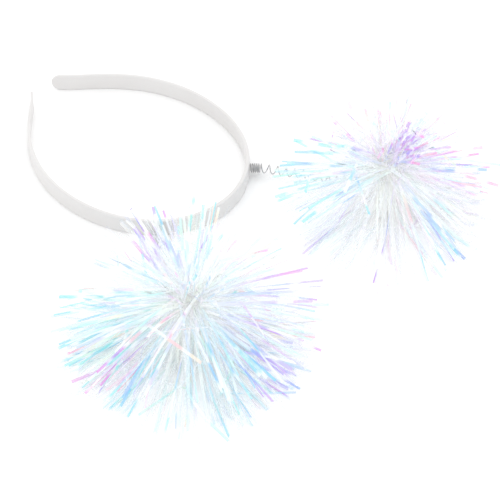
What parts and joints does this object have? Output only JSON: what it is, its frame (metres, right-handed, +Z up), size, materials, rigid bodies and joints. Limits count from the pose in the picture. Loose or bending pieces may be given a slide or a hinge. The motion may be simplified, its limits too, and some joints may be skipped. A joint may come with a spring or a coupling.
{
  "type": "pom-pom spring headband",
  "caption": "Springy plastic headband that lies open on its edge, with coil springs on its crown that carry iridescent tinsel pom-poms.",
  "frame": {"origin": "middle of the crown's strip, on the lower long edge that the band lies on", "axes": "+Z up from the surface that the band lies on; +Y from the crown to the open ends, along the mirror plane; +X to the right spring, which is the longest extent"},
  "size_m": [0.2738, 0.2501, 0.0619],
  "materials": {
    "white_plastic": "satin",
    "spring_wire": "satin",
    "tie_wire": "gloss",
    "tinsel_film": "gloss"
  },
  "bodies": {
    "crown": {"headband_crown": "white_plastic", "spring_base_coils_left": "spring_wire", "spring_base_coils_right": "spring_wire"},
    "band_side_left": {"headband_side_left": "white_plastic"},
    "band_end_left": {"headband_end_left": "white_plastic"},
    "spring_lower_left": {"spring_lower_coils_left": "spring_wire"},
    "spring_middle_left": {"spring_middle_coils_left": "spring_wire"},
    "pompom_left": {"spring_upper_coils_left": "spring_wire", "spring_end_coils_left": "spring_wire", "tinsel_tie_left": "tie_wire", "tinsel_pompom_left": "tinsel_film"},
    "band_side_right": {"headband_side_right": "white_plastic"},
    "band_end_right": {"headband_end_right": "white_plastic"},
    "spring_lower_right": {"spring_lower_coils_right": "spring_wire"},
    "spring_middle_right": {"spring_middle_coils_right": "spring_wire"},
    "pompom_right": {"spring_upper_coils_right": "spring_wire", "spring_end_coils_right": "spring_wire", "tinsel_tie_right": "tie_wire", "tinsel_pompom_right": "tinsel_film"}
  },
  "joints": [
    {"name": "band_open_left", "type": "hinge", "parent": "crown", "child": "band_side_left", "pos_m": [-0.04459, 0.02665, 0.005], "axis": [0, 0, 1], "range_deg": [-2.2, 18], "stiffness_Nm_per_rad": 0.3},
    {"name": "band_end_open_left", "type": "hinge", "parent": "band_side_left", "child": "band_end_left", "pos_m": [-0.04896, 0.08554, 0.005], "axis": [0, 0, 1], "range_deg": [-1.32, 10.8], "stiffness_Nm_per_rad": 0.2},
    {"name": "band_open_right", "type": "hinge", "parent": "crown", "child": "band_side_right", "pos_m": [0.04459, 0.02665, 0.005], "axis": [0, 0, -1], "range_deg": [-2.2, 18], "stiffness_Nm_per_rad": 0.3},
    {"name": "band_end_open_right", "type": "hinge", "parent": "band_side_right", "child": "band_end_right", "pos_m": [0.04896, 0.08554, 0.005], "axis": [0, 0, -1], "range_deg": [-1.32, 10.8], "stiffness_Nm_per_rad": 0.2},
    {"name": "spring_swing_left", "type": "hinge", "parent": "crown", "child": "spring_lower_left", "pos_m": [-0.03742, 0.00786, 0.005], "axis": [0, 0, -1], "range_deg": [-8, 40], "stiffness_Nm_per_rad": 0.02, "deforming": ["spring_lower_coils_left"]},
    {"name": "spring_nod_left", "type": "hinge", "parent": "spring_lower_left", "child": "spring_middle_left", "pos_m": [-0.04782, -0.00923, 0.0055], "axis": [-0.8541, 0.5201, 0], "range_deg": [-8, 50], "stiffness_Nm_per_rad": 0.02, "deforming": ["spring_middle_coils_left"]},
    {"name": "spring_stretch_left", "type": "slide", "parent": "spring_middle_left", "child": "pompom_left", "axis": [-0.5201, -0.8541, 0], "range_m": [-0.01, 0.03], "stiffness_N_per_m": 300, "deforming": ["spring_upper_coils_left"]},
    {"name": "spring_swing_right", "type": "hinge", "parent": "crown", "child": "spring_lower_right", "pos_m": [0.03742, 0.00786, 0.005], "axis": [0, 0, 1], "range_deg": [-8, 40], "stiffness_Nm_per_rad": 0.02, "deforming": ["spring_lower_coils_right"]},
    {"name": "spring_nod_right", "type": "hinge", "parent": "spring_lower_right", "child": "spring_middle_right", "pos_m": [0.04782, -0.00923, 0.0055], "axis": [-0.8541, -0.5201, 0], "range_deg": [-8, 50], "stiffness_Nm_per_rad": 0.02, "deforming": ["spring_middle_coils_right"]},
    {"name": "spring_stretch_right", "type": "slide", "parent": "spring_middle_right", "child": "pompom_right", "axis": [0.5201, -0.8541, 0], "range_m": [-0.01, 0.03], "stiffness_N_per_m": 300, "deforming": ["spring_upper_coils_right"]}
  ],
  "couplings": [
    {"joint": "band_open_right", "follows": "band_open_left", "ratio": 1},
    {"joint": "band_end_open_left", "follows": "band_open_left", "ratio": 0.6},
    {"joint": "band_end_open_right", "follows": "band_open_left", "ratio": 0.6}
  ]
}
